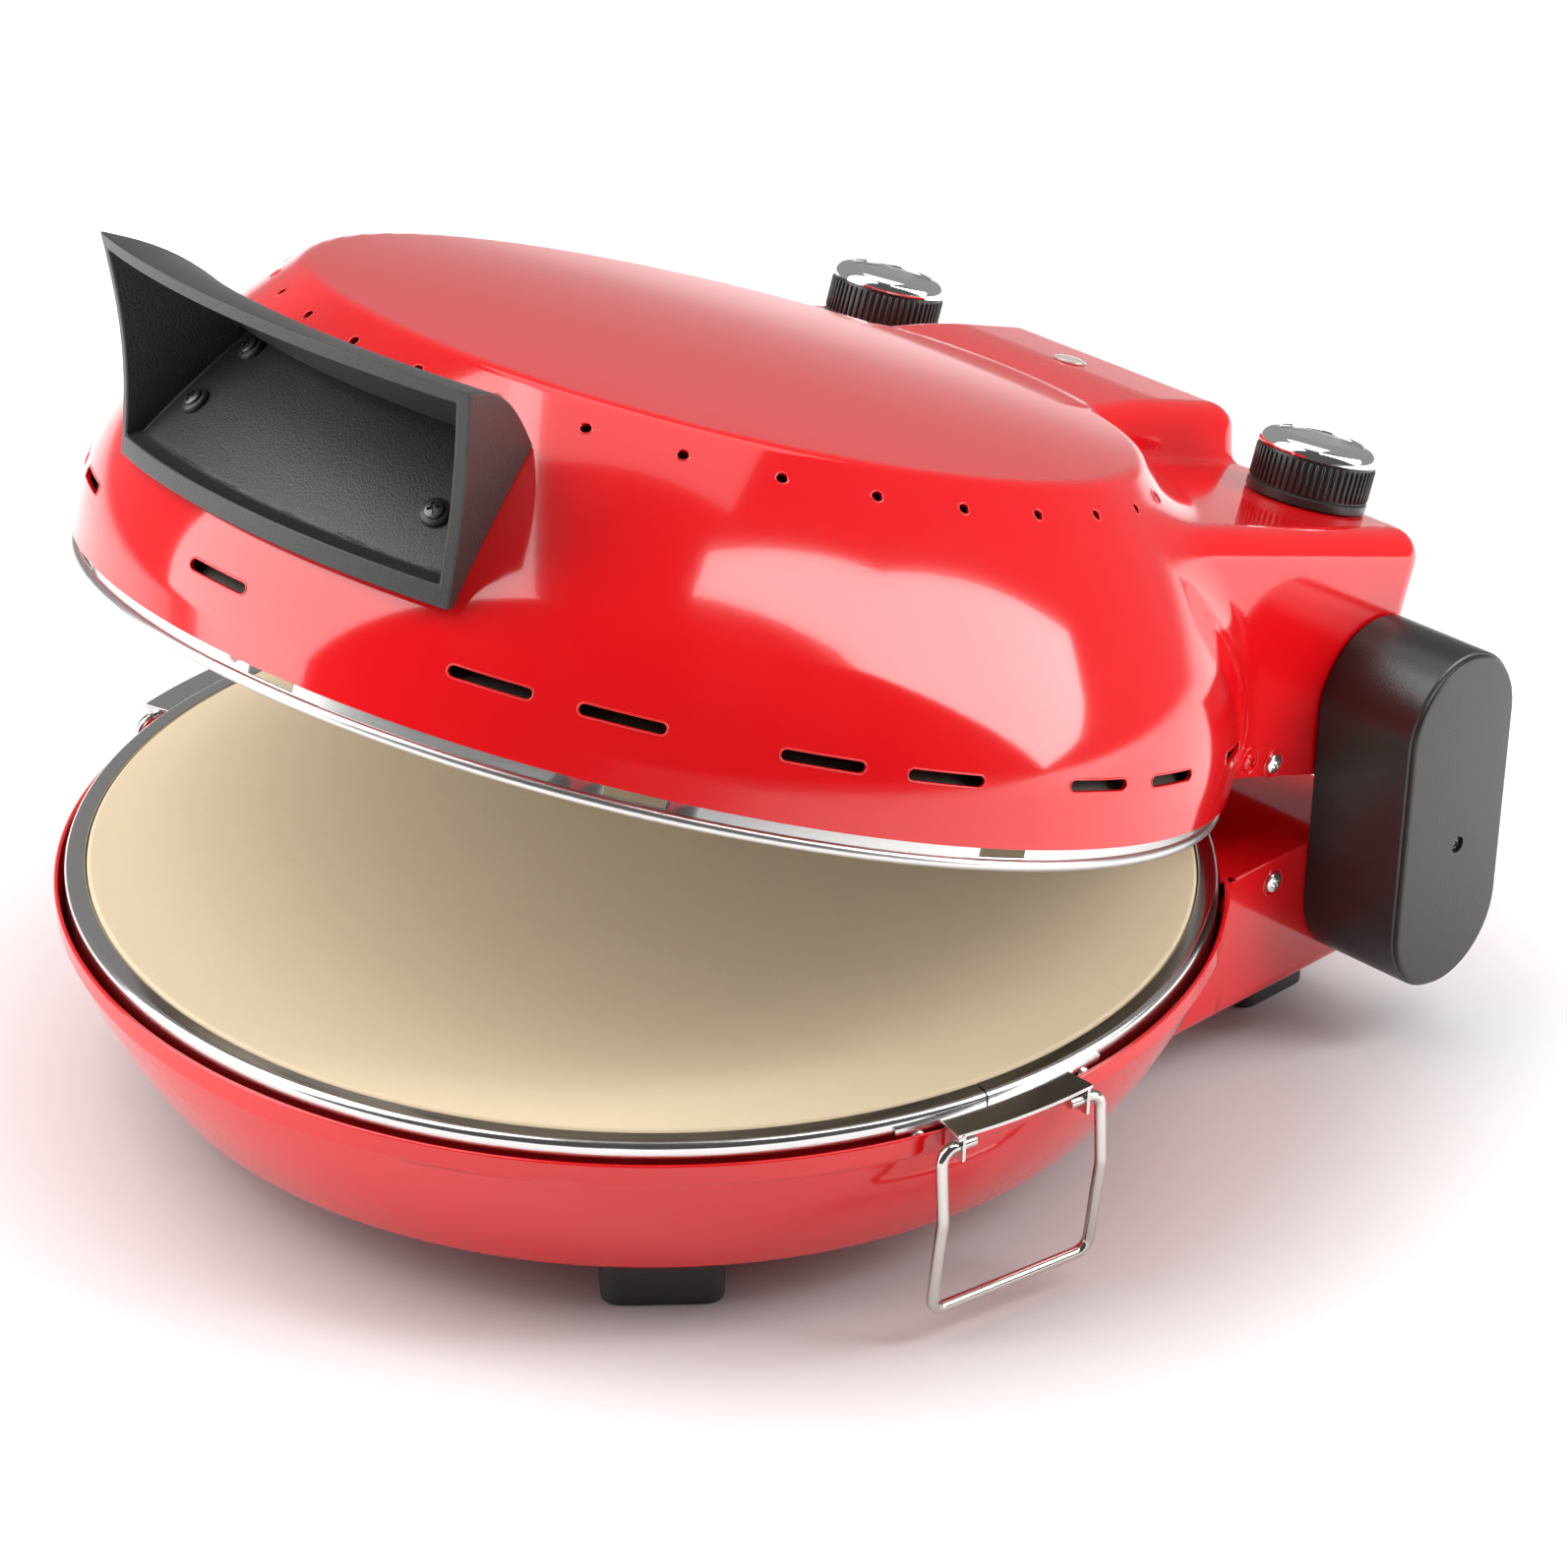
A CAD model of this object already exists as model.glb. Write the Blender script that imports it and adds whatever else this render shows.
import math
import bpy
import bmesh
import numpy as np
from mathutils import Matrix, Vector


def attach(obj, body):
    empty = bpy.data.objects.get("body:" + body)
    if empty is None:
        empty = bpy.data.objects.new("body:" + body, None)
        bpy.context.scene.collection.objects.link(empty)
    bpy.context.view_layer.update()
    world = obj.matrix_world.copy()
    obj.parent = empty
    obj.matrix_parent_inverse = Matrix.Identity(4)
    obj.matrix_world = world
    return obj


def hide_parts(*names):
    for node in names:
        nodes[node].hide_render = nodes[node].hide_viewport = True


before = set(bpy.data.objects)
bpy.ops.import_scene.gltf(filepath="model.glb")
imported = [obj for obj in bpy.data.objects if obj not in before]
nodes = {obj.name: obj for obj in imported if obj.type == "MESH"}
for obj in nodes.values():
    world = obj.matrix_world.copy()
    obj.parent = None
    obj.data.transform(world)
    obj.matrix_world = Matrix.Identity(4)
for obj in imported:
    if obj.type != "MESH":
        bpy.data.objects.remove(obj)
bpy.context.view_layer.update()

print("frame loaded:", len(nodes), "nodes")

# Millimetres; x to the right, y back from the stone's axis, z up from the table
place = {"middle": 18.105, "restAngle": 17.6, "pivotY": 181.0, "pivotZ": 93.5, "lidZ": 70.4}
tilt = math.radians(place["restAngle"])
tiltCos, tiltSin = math.cos(tilt), math.sin(tilt)


def asRows(points):
    return np.array(points, float).reshape(-1, 3)


def basePlace(points):
    return (asRows(points) - (0, place["middle"], 0)) / 1000


def lidTurn(vectors):
    x, y, z = asRows(vectors).T
    return np.stack([x, y * tiltCos + z * tiltSin, -y * tiltSin + z * tiltCos], 1)


def lidPlace(points):
    turned = lidTurn(asRows(points) - (0, place["pivotY"], place["pivotZ"] - place["lidZ"]))
    return basePlace(turned + (0, place["pivotY"], place["pivotZ"]))


def placeOf(body):
    return basePlace if body == "base" else lidPlace


def baseUnplace(p):
    return p + (0, place["middle"], 0)


def lidUnplace(p):
    y, z = p[:, 1] + place["middle"] - place["pivotY"], p[:, 2] - place["pivotZ"]
    back, up = y * tiltCos - z * tiltSin, y * tiltSin + z * tiltCos
    return np.stack([p[:, 0], back + place["pivotY"], up + place["pivotZ"] - place["lidZ"]], 1)


# Node trees, for shaders and for geometry

def newTree(name, kind, inputs, outputs):
    # An input is a label with its usual value or, where it has none, its kind; an output has its kind
    tree = bpy.data.node_groups.new(name, kind + "NodeTree")
    ids = {}
    for label, value in inputs.items():
        valueKind = {float: "Float", int: "Int", tuple: "Vector", list: "Color"}.get(type(value), value)
        socket = tree.interface.new_socket(label, in_out="INPUT", socket_type="NodeSocket" + valueKind)
        ids[label] = socket.identifier
        if value != valueKind:
            socket.default_value = value
    for label, valueKind in outputs.items():
        tree.interface.new_socket(label, in_out="OUTPUT", socket_type="NodeSocket" + valueKind)
    source, sink = tree.nodes.new("NodeGroupInput"), tree.nodes.new("NodeGroupOutput")
    return tree, ids, source.outputs, sink.inputs


def addNode(tree, kind, links=None, **settings):
    node = tree.nodes.new(kind)
    for key, value in settings.items():
        setattr(node, key, value)
    for key, value in (links or {}).items():
        if hasattr(value, "is_output"):
            tree.links.new(value, node.inputs[key])
        else:
            node.inputs[key].default_value = value
    return node


def calc(tree, operation, *values):
    return addNode(tree, "ShaderNodeMath", dict(enumerate(values)), operation=operation).outputs[0]


def noise(tree, spot, scale, detail, roughness=0.5):
    return addNode(tree, "ShaderNodeTexNoise", {"Vector": spot, "Scale": scale, "Detail": detail,
                                                "Roughness": roughness}).outputs["Fac"]


def objectSpot(tree):
    return addNode(tree, "ShaderNodeTexCoord").outputs["Object"]


def blend(tree, amount, one, other):
    return addNode(tree, "ShaderNodeMix", {0: amount, 6: one, 7: other}, data_type="RGBA").outputs[2]


def linkSurface(tree, source, sink, tone, relief, depth):
    # Roughness from a broad pattern and a bump from a fine one, by the group's own inputs
    offset = calc(tree, "SUBTRACT", tone, 0.5)
    rough = calc(tree, "MULTIPLY_ADD", offset, source["Spread"], source["Roughness"])
    tree.links.new(rough, sink["Roughness"])
    bump = {"Height": relief, "Strength": source["Height"], "Distance": depth}
    tree.links.new(addNode(tree, "ShaderNodeBump", bump).outputs[0], sink["Normal"])


def makeGrainGroup():
    # Fine grain: uneven tone, roughness and height
    tree, _, source, sink = newTree("fineGrain", "Shader", {
        "Color": [0.5, 0.5, 0.5, 1], "Shade": [0.3, 0.3, 0.3, 1], "Scale": 400.0, "Mottle": 0.2,
        "Roughness": 0.4, "Spread": 0.1, "Height": 0.1},
        {"Color": "Color", "Roughness": "Float", "Normal": "Vector"})
    spot = objectSpot(tree)
    fine, broad = noise(tree, spot, source["Scale"], 3.0, 0.6), noise(tree, spot, 22.0, 4.0)
    amount = calc(tree, "MULTIPLY", calc(tree, "MULTIPLY", fine, broad), source["Mottle"])
    tree.links.new(blend(tree, amount, source["Color"], source["Shade"]), sink["Color"])
    linkSurface(tree, source, sink, broad, fine, 0.0004)
    return tree


def makeBrushedGroup():
    # Fine lines that run round an upright axis, as left by spinning or rolling
    tree, _, source, sink = newTree("brushedRings", "Shader", {
        "Centre": (0, 0, 0), "Density": 1800.0, "Along": 12.0, "Roughness": 0.2, "Spread": 0.1,
        "Height": 0.05}, {"Roughness": "Float", "Normal": "Vector"})
    local = addNode(tree, "ShaderNodeVectorMath", {0: objectSpot(tree), 1: source["Centre"]},
                    operation="SUBTRACT")
    x, y, z = addNode(tree, "ShaderNodeSeparateXYZ", {0: local.outputs[0]}).outputs
    flat = addNode(tree, "ShaderNodeCombineXYZ", {0: x, 1: y})
    radius = addNode(tree, "ShaderNodeVectorMath", {0: flat.outputs[0]}, operation="LENGTH").outputs["Value"]
    lines = addNode(tree, "ShaderNodeCombineXYZ", {
        0: calc(tree, "MULTIPLY", radius, source["Density"]),
        1: calc(tree, "MULTIPLY", z, source["Density"]),
        2: calc(tree, "MULTIPLY", calc(tree, "ARCTAN2", y, x), source["Along"])})
    grooves = noise(tree, lines.outputs[0], 1.0, 3.0)
    linkSurface(tree, source, sink, grooves, grooves, 0.0003)
    return tree


def makeDustGroup():
    # Thin dust and soot on what faces up
    tree, _, source, sink = newTree("settledDust", "Shader", {
        "Color": [0.5, 0.5, 0.5, 1], "Dust": [0.55, 0.5, 0.45, 1], "Amount": 0.1}, {"Color": "Color"})
    shape = addNode(tree, "ShaderNodeNewGeometry")
    parts = addNode(tree, "ShaderNodeSeparateXYZ", {0: shape.outputs["Normal"]})
    up = calc(tree, "MAXIMUM", parts.outputs[2], 0.0)
    cloud = noise(tree, objectSpot(tree), 35.0, 6.0)
    spots = addNode(tree, "ShaderNodeMapRange", {0: cloud, 1: 0.45, 2: 0.75, 3: 0.0, 4: 1.0}).outputs[0]
    amount = calc(tree, "MULTIPLY", calc(tree, "MULTIPLY", up, spots), source["Amount"])
    tree.links.new(blend(tree, amount, source["Color"], source["Dust"]), sink["Color"])
    return tree


fineGrain = makeGrainGroup()
brushedRings = makeBrushedGroup()
settledDust = makeDustGroup()
looks = {}


def finish(name, color, shade, scale, mottle=0.4, rough=0.4, spread=0.1, height=0.1, metal=0.0, coat=0.0,
           dust=0.0, rings=None):
    material = looks[name] = bpy.data.materials.new(name)
    material.use_nodes = True
    tree = material.node_tree

    def use(group, values):
        return addNode(tree, "ShaderNodeGroup", values, node_tree=group).outputs

    grain = use(fineGrain, {"Color": color + (1,), "Shade": shade + (1,), "Scale": scale, "Mottle": mottle,
                            "Roughness": rough, "Spread": spread, "Height": height})
    surface = use(brushedRings, {**rings, "Roughness": rough}) if rings else grain
    tone = grain["Color"]
    if dust:
        tone = use(settledDust, {"Color": tone, "Amount": dust})["Color"]
    shader = tree.nodes["Principled BSDF"].inputs
    tree.links.new(tone, shader["Base Color"])
    tree.links.new(surface["Roughness"], shader["Roughness"])
    tree.links.new(surface["Normal"], shader["Normal"])
    shader["Metallic"].default_value = metal
    shader["Coat Weight"].default_value = coat


ringLines = {"Centre": (0.0, -place["middle"] / 1000, 0.0), "Density": 2200.0, "Spread": 0.12, "Height": 0.06}
finish("redPaint", (0.66, 0.003, 0.006), (0.57, 0.002, 0.005), 900.0, 0.3, 0.1, 0.05, 0.02, coat=0.35,
       dust=0.01)
finish("stoneFace", (0.74, 0.60, 0.41), (0.62, 0.48, 0.31), 260.0, 0.5, 0.8, 0.1, 0.22, dust=0.03)
finish("brightSteel", (0.62, 0.61, 0.60), (0.45, 0.44, 0.43), 500.0, 0.25, 0.17, metal=1.0, rings=ringLines)
finish("plainSteel", (0.62, 0.61, 0.60), (0.42, 0.41, 0.40), 300.0, 0.4, 0.3, metal=1.0, rings=ringLines)
finish("wireSteel", (0.56, 0.525, 0.49), (0.4, 0.37, 0.34), 900.0, 0.25, 0.12, 0.08, 0.04, metal=1.0)
finish("sootSteel", (0.05, 0.045, 0.04), (0.12, 0.09, 0.06), 200.0, 0.8, 0.6, 0.2, metal=0.6)
finish("zincSteel", (0.60, 0.60, 0.58), (0.40, 0.39, 0.36), 180.0, 0.6, 0.4, 0.2, metal=1.0)
finish("blackPlastic", (0.018, 0.018, 0.017), (0.034, 0.034, 0.032), 1500.0, 0.7, 0.42, 0.1, 0.45, dust=0.015)
finish("blackGloss", (0.016, 0.016, 0.016), (0.03, 0.03, 0.03), 1200.0, 0.5, 0.3, 0.1, 0.2)
finish("rubber", (0.018, 0.018, 0.018), (0.04, 0.04, 0.04), 1100.0, 0.7, 0.6, 0.15, 0.35, dust=0.06)
finish("heaterSheath", (0.10, 0.095, 0.09), (0.2, 0.13, 0.08), 240.0, 0.8, 0.45, 0.2, 0.15, metal=0.8)
finish("ceramic", (0.80, 0.77, 0.70), (0.6, 0.56, 0.48), 600.0, 0.4, 0.5)
finish("wool", (0.75, 0.70, 0.60), (0.5, 0.44, 0.34), 900.0, 0.9, 0.95, 0.1, 0.9)
finish("screwSteel", (0.74, 0.73, 0.71), (0.5, 0.49, 0.46), 1400.0, 0.4, 0.22, 0.1, 0.08, metal=1.0)
finish("darkScrew", (0.09, 0.09, 0.09), (0.2, 0.2, 0.2), 1400.0, 0.5, 0.35, metal=0.9)
finish("chrome", (0.86, 0.86, 0.87), (0.7, 0.7, 0.7), 1500.0, 0.15, 0.05, 0.03, 0.01, metal=1.0)
finish("discGrey", (0.42, 0.42, 0.41), (0.28, 0.28, 0.28), 1600.0, 0.5, 0.35, metal=0.9)
finish("lensClear", (0.50, 0.42, 0.38), (0.3, 0.24, 0.2), 700.0, 0.5, 0.2, 0.06, 0.25, coat=0.5)
finish("brass", (0.62, 0.43, 0.18), (0.4, 0.26, 0.1), 700.0, 0.5, 0.3, 0.1, 0.08, metal=1.0)
finish("greyBody", (0.55, 0.55, 0.5), (0.4, 0.4, 0.36), 900.0, 0.4, 0.5, 0.1, 0.12)

# The finish that each slot has, unless a piece asks for another
slotLooks = {"red_paint": "redPaint", "stone_face": "stoneFace", "bright_steel": "brightSteel",
             "plain_steel": "plainSteel", "zinc_steel": "zincSteel", "aluminised": "plainSteel",
             "black_plastic": "blackPlastic", "feet_rubber": "rubber", "heater_sheath": "heaterSheath",
             "screw_steel": "screwSteel", "dark_screws": "darkScrew", "knob_black": "blackGloss",
             "knob_chrome": "chrome", "disc_grey": "discGrey", "wool": "wool", "ceramic_white": "ceramic",
             "lens": "lensClear", "brass_bush": "brass", "grey_body": "greyBody"}
print("finishes made:", len(looks))


# Making pieces

def toMesh(name, points, faces, look, smooth=True):
    mesh = bpy.data.meshes.new(name)
    mesh.from_pydata([tuple(p) for p in points], [], [tuple(int(i) for i in f) for f in faces])
    mesh.materials.append(looks[look])
    mesh.polygons.foreach_set("use_smooth", [smooth] * len(mesh.polygons))
    mesh.validate()
    return mesh


def toObject(name, data):
    obj = bpy.data.objects.new(name, data)
    bpy.context.scene.collection.objects.link(obj)
    return obj


def applied(obj):
    # Takes the modifiers into the mesh
    bpy.context.view_layer.update()
    mesh = bpy.data.meshes.new_from_object(obj.evaluated_get(bpy.context.evaluated_depsgraph_get()))
    obj.modifiers.clear()
    obj.data = mesh
    return obj


def settle(obj, body, slot, stands=()):
    if obj.modifiers:
        applied(obj)
    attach(obj, body)
    if stands:
        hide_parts(*stands)


def merged(mesh, distance, flatten=0.0, outward=False):
    work = bmesh.new()
    work.from_mesh(mesh)
    bmesh.ops.remove_doubles(work, verts=work.verts, dist=distance)
    if flatten:
        bmesh.ops.dissolve_limit(work, angle_limit=flatten, verts=work.verts, edges=work.edges)
    if outward:
        bmesh.ops.recalc_face_normals(work, faces=work.faces)
    work.to_mesh(mesh)
    work.free()
    return mesh


def sharpen(mesh, degrees=32):
    mesh.polygons.foreach_set("use_smooth", [True] * len(mesh.polygons))
    mesh.set_sharp_from_angle(angle=math.radians(degrees))
    return mesh


def bevelled(obj, width, degrees=32, segments=2):
    edge = obj.modifiers.new("edge", "BEVEL")
    edge.width = width / 1000
    edge.segments = segments
    edge.limit_method = "ANGLE"
    edge.angle_limit = math.radians(degrees)
    edge.harden_normals = True


def softCopy(node, body, slot, width=0.0, look=None):
    # A CAD solid again, merged, with softened edges
    mesh = merged(nodes[node].data.copy(), 2e-6, flatten=0.008)
    mesh.materials.clear()
    mesh.materials.append(looks[look or slotLooks[slot]])
    mesh.polygons.foreach_set("material_index", [0] * len(mesh.polygons))
    obj = toObject(node + "Soft", sharpen(mesh))
    if width:
        bevelled(obj, width)
    settle(obj, body, slot, [node])


def ringFaces(rows, count):
    # Faces between rows of count points each, with a cap on the first and the last row
    faces = [(j + i, j + (i + 1) % count, j + count + (i + 1) % count, j + count + i)
             for j in range(0, (rows - 1) * count, count) for i in range(count)]
    return faces + [tuple(range(count)), tuple((rows - 1) * count + i for i in range(count))]


def spun(name, profile, look, put, centre=(0.0, 0.0), start=0.0, end=360.0, steps=256, closed=True):
    # profile is (radius, height) in order, radius 0 a pole; closed joins its last point to its first
    full = end - start >= 360
    count = steps if full else steps + 1
    angles = np.radians(start + (end - start) * np.arange(count) / steps)
    rows = len(profile)
    points, starts = [], []
    for r, z in profile:
        starts.append(len(points))
        points += [(centre[0] + r * math.sin(a), centre[1] - r * math.cos(a), z)
                   for a in (angles if r else angles[:1])]

    def at(j, i):
        return starts[j] + (i % count if profile[j][0] else 0)

    faces = []
    for j in range(rows if closed else rows - 1):
        k = (j + 1) % rows
        for i in range(count if full else count - 1):
            faces.append(list(dict.fromkeys((at(j, i), at(j, i + 1), at(k, i + 1), at(k, i)))))
    if not full:
        faces += [[at(j, i) for j in range(rows)] for i in (0, count - 1)]
    return merged(toMesh(name, put(points), faces, look), 1e-6, outward=True)


def spunPiece(name, profile, degrees, body, slot, stands=(), **shape):
    mesh = sharpen(spun(name, profile, slotLooks[slot], placeOf(body), **shape), degrees)
    settle(toObject(name, mesh), body, slot, stands)


def arcPoints(cx, cy, r, a0, a1, n):
    return [(cx + r * math.cos(math.radians(a0 + (a1 - a0) * i / n)),
             cy + r * math.sin(math.radians(a0 + (a1 - a0) * i / n))) for i in range(n + 1)]


def endRealized(tree, geometry, source, sink):
    real = addNode(tree, "GeometryNodeRealizeInstances", {0: geometry})
    dress = {"Geometry": real.outputs[0], "Material": source["Finish"]}
    tree.links.new(addNode(tree, "GeometryNodeSetMaterial", dress).outputs[0], sink[0])


def makeScatterTree():
    # Sets a template on every point, its z along aim and its x along side
    tree, ids, source, sink = newTree("setOnPoints", "Geometry", {
        "Geometry": "Geometry", "Template": "Object", "Finish": "Material", "Size": 1.0},
        {"Geometry": "Geometry"})
    template = addNode(tree, "GeometryNodeObjectInfo", {"Object": source["Template"]})
    aim, side = [addNode(tree, "GeometryNodeInputNamedAttribute", {"Name": name}, data_type="FLOAT_VECTOR")
                 for name in ("aim", "side")]
    axes = addNode(tree, "FunctionNodeAxesToRotation", {0: aim.outputs[0], 1: side.outputs[0]},
                   primary_axis="Z", secondary_axis="X")
    size = addNode(tree, "ShaderNodeCombineXYZ", {axis: source["Size"] for axis in range(3)})
    copies = addNode(tree, "GeometryNodeInstanceOnPoints", {
        "Points": source["Geometry"], "Instance": template.outputs["Geometry"], "Rotation": axes.outputs[0],
        "Scale": size.outputs[0]})
    endRealized(tree, copies.outputs[0], source, sink)
    return tree, ids


def makeSweepTree():
    # Sweeps a round section along the edges of a mesh
    tree, ids, source, sink = newTree("sweepRound", "Geometry", {
        "Geometry": "Geometry", "Radius": 0.001, "Sides": 12, "Finish": "Material"}, {"Geometry": "Geometry"})
    path = addNode(tree, "GeometryNodeMeshToCurve", {0: source["Geometry"]})
    section = addNode(tree, "GeometryNodeCurvePrimitiveCircle", {
        "Resolution": source["Sides"], "Radius": source["Radius"]})
    tube = addNode(tree, "GeometryNodeCurveToMesh", {
        "Curve": path.outputs[0], "Profile Curve": section.outputs[0], "Fill Caps": True})
    smooth = addNode(tree, "GeometryNodeSetShadeSmooth", {0: tube.outputs[0]})
    endRealized(tree, smooth.outputs[0], source, sink)
    return tree, ids


scatterTree = makeScatterTree()
sweepTree = makeSweepTree()


def bakeTree(name, mesh, made, values):
    tree, ids = made
    obj = toObject(name, mesh)
    modifier = obj.modifiers.new("nodes", "NODES")
    modifier.node_group = tree
    for label, value in values.items():
        modifier[ids[label]] = value
    obj.update_tag()
    applied(obj).data.name = name
    return obj


def scatter(name, points, aims, sides, template, look, size=1.0):
    mesh = bpy.data.meshes.new(name)
    mesh.from_pydata([tuple(p) for p in points], [], [])
    for key, rows in (("aim", aims), ("side", sides)):
        layer = mesh.attributes.new(key, "FLOAT_VECTOR", "POINT")
        layer.data.foreach_set("vector", np.array(rows, float).ravel())
    return bakeTree(name, mesh, scatterTree, {"Template": template, "Finish": looks[look], "Size": size})


def sweep(name, loops, radius, look, sides=12, closed=True):
    points, edges = [], []
    for loop in loops:
        start, count = len(points), len(loop)
        points += [tuple(p) for p in loop]
        edges += [(start + i, start + (i + 1) % count) for i in range(count if closed else count - 1)]
    mesh = bpy.data.meshes.new(name)
    mesh.from_pydata(points, edges, [])
    return bakeTree(name, mesh, sweepTree, {"Radius": radius / 1000, "Sides": sides, "Finish": looks[look]})


def cut(obj, cutters):
    # Takes closed cutter meshes out of a closed piece
    work = bmesh.new()
    for mesh in cutters:
        work.from_mesh(mesh)
    work.to_mesh(cutters[0])
    work.free()
    tool = toObject("cuts", cutters[0])
    step = obj.modifiers.new("cut", "BOOLEAN")
    step.operation = "DIFFERENCE"
    step.solver = "MANIFOLD"
    step.object = tool
    applied(obj)
    bpy.data.objects.remove(tool)


# Shells given by a distance function, negative inside

def roundMax(a, b, r):
    return np.minimum(-r, np.maximum(a, b)) + np.hypot(np.maximum(r + a, 0), np.maximum(r + b, 0))


def roundMin(a, b, r):
    return -roundMax(-a, -b, r)


def slopeOf(form, p, step=0.04):
    n = np.stack([form(p + d) - form(p - d) for d in np.eye(3) * step], 1)
    return n / np.maximum(np.linalg.norm(n, axis=1, keepdims=True), 1e-9)


def shoot(form, start, aim, reach=400.0):
    # The last point along each ray, from inside, where the form ends
    near, far = np.zeros(len(aim)), np.full(len(aim), reach)
    for _ in range(44):
        mid = (near + far) / 2
        inside = form(start + aim * mid[:, None]) < 0
        near, far = np.where(inside, mid, near), np.where(inside, far, mid)
    return start + aim * ((near + far) / 2)[:, None]


def ontoForm(form, points, aim, back=3.0):
    # points stand near the surface; aim goes into the form
    start = np.array(points, float) - aim * back
    return shoot(lambda p: -form(p), start, np.tile(aim, (len(start), 1)), back * 3)


def rays(azimuth, lift):
    flat = np.cos(lift)
    return np.stack([np.sin(azimuth) * flat, -np.cos(azimuth) * flat, np.sin(lift)], 1)


def stepCosts(form, p, turnWeight, reach, mode):
    # The length of each step along a line of points and its turn, as a running mean
    n = slopeOf(form, p)
    length = np.linalg.norm(np.diff(p, axis=0), axis=1)
    turn = np.arccos(np.clip((n[1:] * n[:-1]).sum(1), -1, 1))
    cost = np.concatenate([[0], length + turnWeight * turn])
    window = 2 * reach + 1
    return np.convolve(np.pad(cost, reach, mode=mode), np.ones(window) / window, "valid")


def spacedBy(cost, count, fine):
    total = np.cumsum(cost)
    return np.interp(np.linspace(0, total[-1], count), total, fine)


def shellAzimuths(form, centre, height, count, extra):
    # Azimuths spaced along the outline, closer at its corners and where extra asks
    fine = np.linspace(-math.pi, math.pi, 4001)
    p = shoot(form, np.array([centre[0], centre[1], height]), rays(fine, np.zeros_like(fine)))
    return spacedBy(stepCosts(form, p, 14, 20, "wrap") * extra(p), count + 1, fine)[:-1]


def shellRows(form, centre, azimuths, rows, edgeHeight, poleUp):
    # Rings of points from the open edge to the pole, closer where the surface turns
    centre = np.array(centre, float)
    tops = np.array([edgeHeight(a) for a in azimuths])
    starts = np.stack([np.full(len(tops), centre[0]), np.full(len(tops), centre[1]), tops], 1)
    edge = shoot(form, starts, rays(azimuths, np.zeros(len(tops)))) - centre
    rim = np.arctan2(edge[:, 2], np.hypot(edge[:, 0], edge[:, 1]))
    pole = math.pi / 2 if poleUp else -math.pi / 2
    grid = np.zeros((rows, len(azimuths), 3))
    for i, a in enumerate(azimuths):
        lift = np.linspace(rim[i], pole * 0.9999, 420)
        cost = stepCosts(form, shoot(form, centre, rays(a, lift)), 9, 6, "edge")
        cost[0] = 0
        grid[:, i] = shoot(form, centre, rays(a, spacedBy(cost, rows, lift)))
    return grid


def shellMesh(form, grid, wall, upward):
    # Two skins, joined at the edge; the last row closes on the pole
    rows, count, _ = grid.shape
    outer = grid.reshape(-1, 3)
    inner = outer - slopeOf(form, outer) * wall
    inner[:count, 2] = outer[:count, 2]
    poles = np.array([outer[-count:].mean(0), inner[-count:].mean(0)])
    shift, last = rows * count, (rows - 1) * count
    faces = []

    def add(*face):
        faces.append(face if upward else face[::-1])

    for j in range(rows - 1):
        for i in range(count):
            k = (i + 1) % count
            a, b, c, d = j * count + i, j * count + k, (j + 1) * count + k, (j + 1) * count + i
            add(a, b, c, d)
            add(d + shift, c + shift, b + shift, a + shift)
    for i in range(count):
        k = (i + 1) % count
        add(last + i, last + k, 2 * shift)
        add(last + k + shift, last + i + shift, 2 * shift + 1)
        add(k, i, i + shift, k + shift)
    return np.concatenate([outer, inner, poles]), faces


def readAll(rows, key, width=1, kind=float):
    values = np.empty(len(rows) * width, kind)
    rows.foreach_get(key, values)
    return values.reshape(-1, width) if width > 1 else values


def trueNormals(mesh, form, unplace, turn, wall):
    # Corner normals from the form itself, so that cuts leave no dents in the gloss
    spots = unplace(readAll(mesh.vertices, "co", 3) * 1000)
    corner = readAll(mesh.loops, "vertex_index", kind=int)
    sizes = readAll(mesh.polygons, "loop_total", kind=int)
    guess = turn(slopeOf(form, spots))[corner]
    own = np.repeat(readAll(mesh.polygons, "normal", 3), sizes, axis=0)
    deep, along = form(spots)[corner], (guess * own).sum(1)
    skin = (np.abs(deep) < 0.25) & (along > 0.8)
    back = (np.abs(deep + wall) < 0.3) & (along < -0.8)
    out = np.where(skin[:, None], guess, np.where(back[:, None], -guess, own))
    mesh.normals_split_custom_set([tuple(n) for n in out])


def makeSkin(name, form, grid, wall, cutters, body, node):
    # A red shell with its holes; the lid's is built upwards and the base's downwards
    onLid = body == "lid"
    points, faces = shellMesh(form, grid, wall, onLid)
    obj = toObject(name, toMesh(name, placeOf(body)(points), faces, "redPaint"))
    cut(obj, cutters)
    unplace, turn = (lidUnplace, lidTurn) if onLid else (baseUnplace, asRows)
    trueNormals(obj.data, form, unplace, turn, wall)
    settle(obj, body, "red_paint", [node])


def plugMesh(name, outline, put, depth):
    # A straight cutter: outline is a loop of points, depth the vector that it is swept along
    n = len(outline)
    a = np.array(outline, float)
    faces = [tuple(range(n)), tuple(range(2 * n - 1, n - 1, -1))]
    faces += [(i, (i + 1) % n, n + (i + 1) % n, n + i) for i in range(n)]
    points = np.concatenate([a, a + np.array(depth, float)])
    return merged(toMesh(name, put(points), faces, "redPaint", False), 1e-6, outward=True)


def frameOf(axis):
    axis = np.array(axis, float) / np.linalg.norm(axis)
    side = np.cross([0, 0, 1], axis) if abs(axis[2]) < 0.9 else np.cross([0, 1, 0], axis)
    side /= np.linalg.norm(side)
    return side, np.cross(axis, side), axis


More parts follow.
